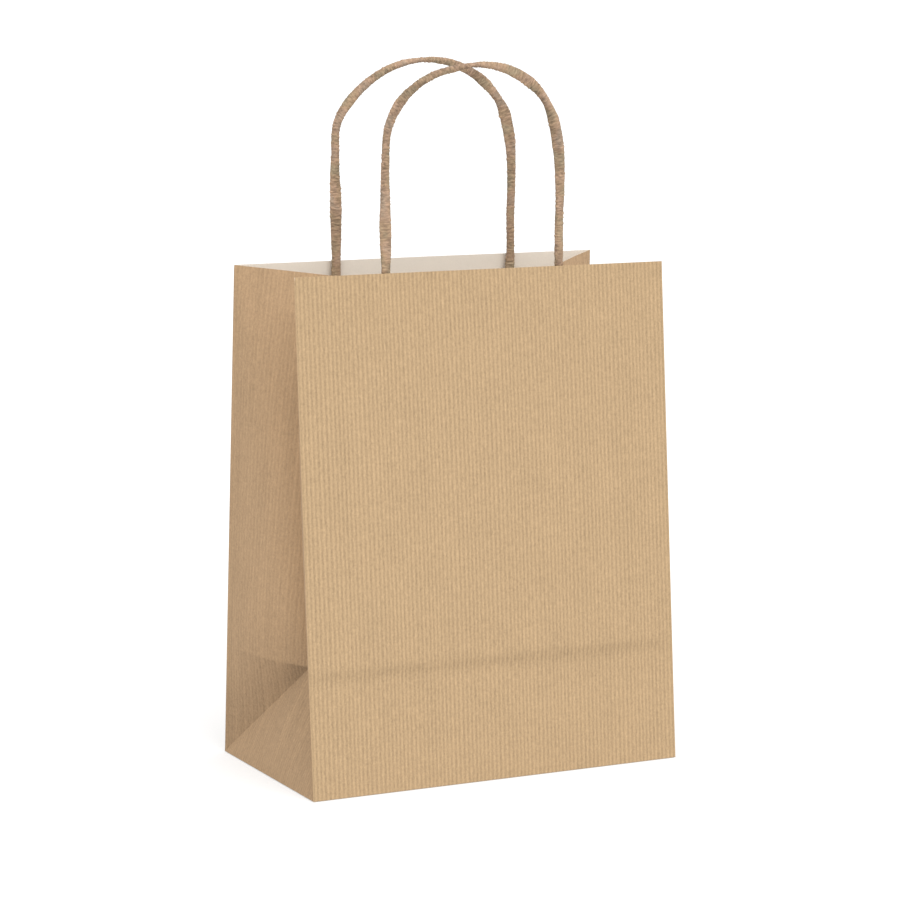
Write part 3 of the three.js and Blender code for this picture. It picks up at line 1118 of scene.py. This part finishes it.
# %% The kraft finish
def kraft(name, outside, inside, rib_strength=0.11, band_strength=0.12):
    """Two colours, by the attribute inner, and the strength of two kinds of stripe: the
    ribs, and the broader bands that wander beside them."""
    finish = Finish(name)
    laid = attribute(finish, "laid", "Vector")
    streaks = noise(finish, laid, (1100, 240, 1), 4.0, 0.7)
    grain = noise(finish, laid, (1000, 800, 1), 5.0, 0.8)
    clouds = noise(finish, laid, (70, 45, 1))
    bands = noise(finish, laid, (330, 9, 1))
    fleck_field = noise(finish, laid, (900, 520, 1), 2.0, 0.5)
    dark_flecks = between(finish, fleck_field, 0.69, 0.78)
    pale_flecks = between(finish, 1 - fleck_field, 0.69, 0.78)
    rib = attribute(finish, "rib")
    inner = attribute(finish, "inner")
    worn = attribute(finish, "worn")
    # Painted shade in the old creases, painted light (negative) by the gussets' ridges, and the
    # seam's dark line.
    creased = attribute(finish, "creased")

    outer_light = (
        1 + rib_strength * rib + 0.65 * (streaks - 0.5) + 0.85 * (grain - 0.5)
        + 0.15 * (clouds - 0.5) + band_strength * (bands - 0.5) - 0.2 * dark_flecks
        + 0.16 * pale_flecks + 0.05 * worn - 0.3 * creased
    )
    inner_light = 1 + 0.05 * (streaks - 0.5) + 0.08 * (grain - 0.5) + 0.06 * (clouds - 0.5)
    outer = brightened(finish, outside, outer_light)
    inner_face = brightened(finish, inside, inner_light)
    base = mixed(finish, inner, outer, inner_face)
    rough = 0.8 + 0.16 * grain
    return finished(finish, base, rough, grain + 0.6 * streaks, 0.06 * MM)


KRAFT_OUTSIDE = colour(169, 143, 110)
KRAFT_INSIDE = colour(230, 220, 207)
finishes = {
    "ribbed_kraft": kraft("ribbed_kraft", KRAFT_OUTSIDE, KRAFT_INSIDE),
    "gusset_kraft": kraft("gusset_kraft", colour(166, 138, 107), KRAFT_INSIDE, 0.04, 0.35),
    "inner_kraft": kraft("inner_kraft", KRAFT_OUTSIDE, KRAFT_INSIDE, 0.02),
    "patch_kraft": kraft("patch_kraft", colour(196, 180, 156), colour(198, 182, 158), 0.0),
}

# %% [markdown]
# ## Cord paper
#
# The cord is a thinner, duller paper. Twisting drags its colour into soft patches, brown
# with a breath of pink or of grey-green, and the valleys of its creases get painted shade.

# %% The cord finish
def cord_paper():
    """Brown patches along the cord, fibres over them, and painted shade in the hollows."""
    finish = Finish("twisted_kraft")
    laid = attribute(finish, "laid", "Vector")
    relief = attribute(finish, "relief")
    patches = noise(finish, laid, (110, 110, 90), 2.0)
    stops = [
        (0.34, colour(150, 133, 109)),
        (0.48, colour(155, 130, 105)),
        (0.58, colour(161, 134, 112)),
        (0.68, colour(153, 133, 114)),
    ]
    base = finish.node("ShaderNodeValToRGB", 0, {"stops": stops}, {0: patches})
    fibres = noise(finish, laid, (420, 420, 1150), 4.0, 0.7)
    # Painted shade: 0 deep in the creases and 1 on their ridges, so the creases are drawn
    # darker.
    painted_ridge_light = between(finish, relief, -0.2, 0.1)
    flecks = between(finish, fibres, 0.6, 0.72)
    light = 0.63 + 0.42 * painted_ridge_light + 1.5 * (fibres - 0.5) + 0.3 * flecks
    base = brightened(finish, base, light)
    return finished(finish, base, 0.9, fibres, 0.12 * MM)


finishes["twisted_kraft"] = cord_paper()
made = panels + gussets + toes + bottom_flaps + tucks + strips + cords
for piece in made:
    piece.data.materials.append(finishes[piece["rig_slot"]])
print(len(made), "pieces,", len(finishes), "finishes")

# %% [markdown]
# ## Floor and light
#
# The bag stands on a plain white floor. A large soft light, high and almost square in front
# of it, falls on the front panel and leaves the gussets in a gentle shade, and the bright
# surroundings fill the rest. The floor is so large that its far edge is never seen, and a
# sun lamp lights all of it alike. The sun's wide angle makes the shadows soft. A little
# glow of its own keeps the floor white.

# %% Floor
FLOOR_DROP = 0.2 * MM  # below the bag, so that the two don't meet
FLOOR_REACH = 150  # metres each way
corners = [(-1, -1), (1, -1), (1, 1), (-1, 1)]
floor_mesh = bpy.data.meshes.new("floor")
floor_mesh.from_pydata(
    [(FLOOR_REACH * x, FLOOR_REACH * y, -FLOOR_DROP) for x, y in corners], [], [(0, 1, 2, 3)]
)
floor = bpy.data.objects.new("floor", floor_mesh)
bpy.context.scene.collection.objects.link(floor)
white = Finish("white_floor")
white_shader = white.node(
    "ShaderNodeBsdfPrincipled",
    0,
    {},
    {
        "Base Color": (0.55, 0.55, 0.55, 1),
        "Roughness": 1.0,
        "Specular IOR Level": 0.0,
        "Emission Color": (1, 1, 1, 1),
        "Emission Strength": 0.42,
    },
)
white.node("ShaderNodeOutputMaterial", None, {}, {"Surface": white_shader})
floor.data.materials.append(white.material)

# %% Light
SUN_TOWARDS = unit(np.array([-0.06, -0.62, 0.78]))
sun = bpy.data.objects.new("soft_light", bpy.data.lights.new("soft_light", "SUN"))
sun.data.energy = 2.2
sun.data.angle = math.radians(60)
sun.rotation_euler = (
    math.acos(SUN_TOWARDS[2]),
    0,
    math.atan2(SUN_TOWARDS[1], SUN_TOWARDS[0]) + math.pi / 2,
)
bpy.context.scene.collection.objects.link(sun)

world = bpy.data.worlds.new("studio")
world.use_nodes = True
world.node_tree.nodes["Background"].inputs["Color"].default_value = (1, 1, 1, 1)
world.node_tree.nodes["Background"].inputs["Strength"].default_value = 0.9
bpy.context.scene.world = world
bpy.context.scene.view_settings.view_transform = "Standard"
